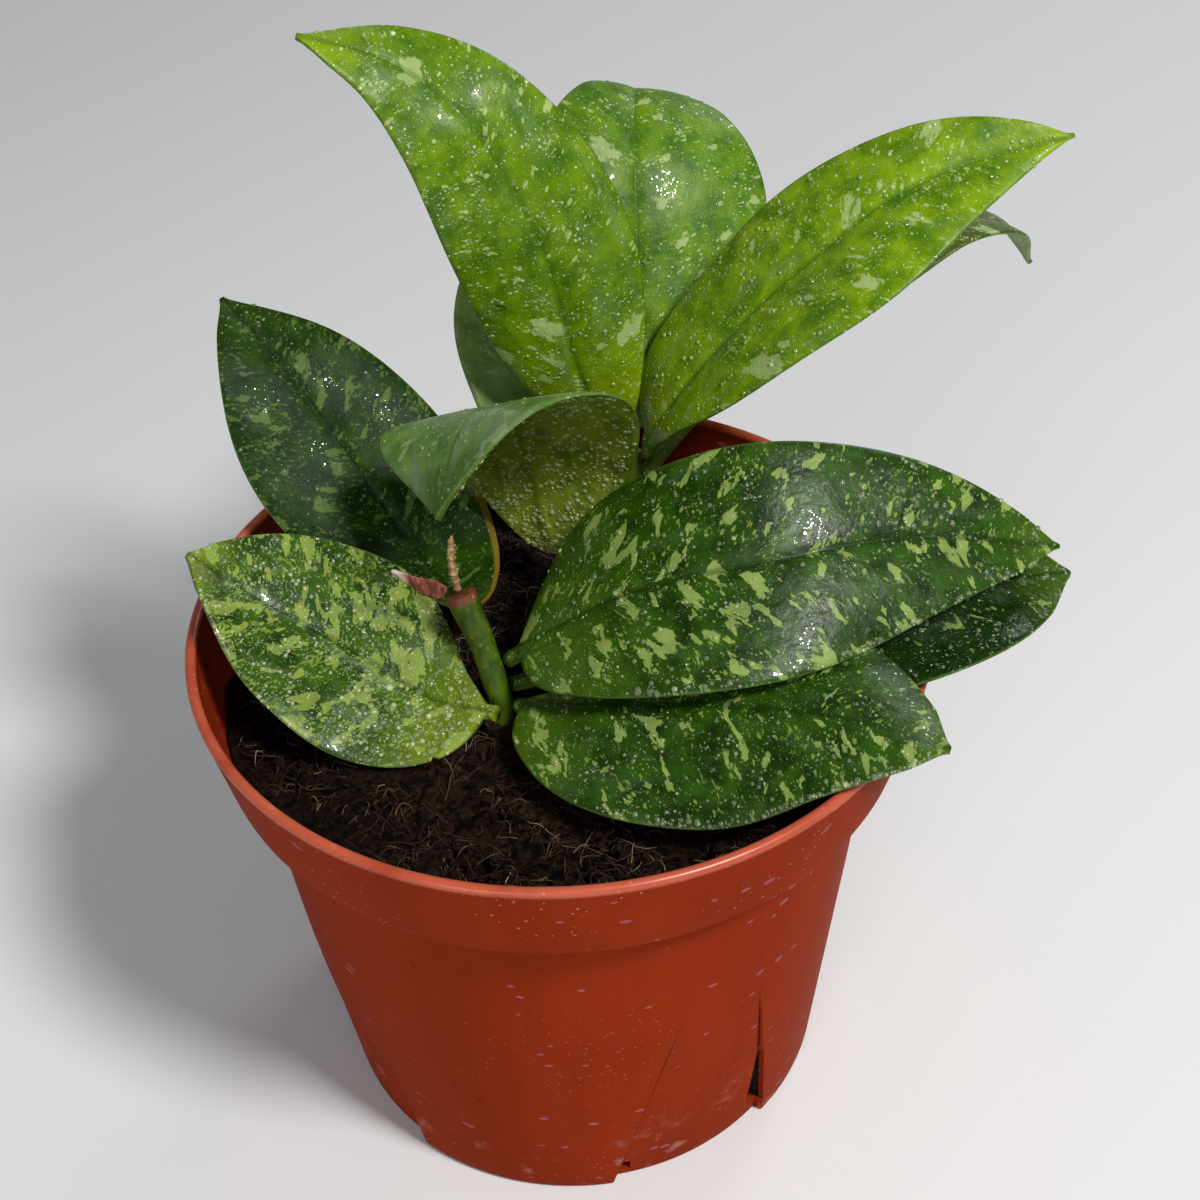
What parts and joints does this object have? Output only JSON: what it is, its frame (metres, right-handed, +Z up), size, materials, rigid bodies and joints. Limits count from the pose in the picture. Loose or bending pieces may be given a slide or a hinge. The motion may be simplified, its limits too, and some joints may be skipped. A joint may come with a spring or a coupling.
{
  "type": "potted hoya plant",
  "caption": "Young wax plant with splashed, pointed oval leaves on short stems, growing in soil in a round terracotta-coloured plastic nursery pot with a tall collar.",
  "frame": {"origin": "middle of the pot's foot, on the surface that the pot stands on", "axes": "+Z up along the pot's own axis; the front, towards the picture's camera, is -Y; +X to the right of the picture"},
  "size_m": [0.1524, 0.1441, 0.1785],
  "materials": {
    "pot_plastic": "thin moulded terracotta-brown plastic, satin, lightly scuffed, paler along the lip",
    "soil": "damp dark peat and coir with pale fibres",
    "green_stem": "smooth waxy green stem",
    "dried_stalk": "dry, rough, tan to reddish brown",
    "young_leaf": "thick waxy leaf, yellow-green with pale flecks, wet gloss",
    "mature_leaf": "thick waxy leaf, dark green with pale green splashes, wet gloss"
  },
  "bodies": {
    "root": {"pot": "pot_plastic", "soil": "soil", "shoot_stem": "green_stem", "stub_stem": "green_stem", "dried_peduncle": "dried_stalk", "dried_scar": "dried_stalk", "leaf_upper_left": "young_leaf", "leaf_top_centre": "young_leaf", "leaf_upper_right": "young_leaf", "leaf_back_right": "young_leaf", "leaf_back_left": "mature_leaf", "leaf_left_upright": "mature_leaf", "leaf_curled_middle": "mature_leaf", "leaf_lower_left": "mature_leaf", "leaf_right_top": "mature_leaf", "leaf_right_lower": "mature_leaf", "leaf_right_under": "mature_leaf"}
  },
  "joints": []
}
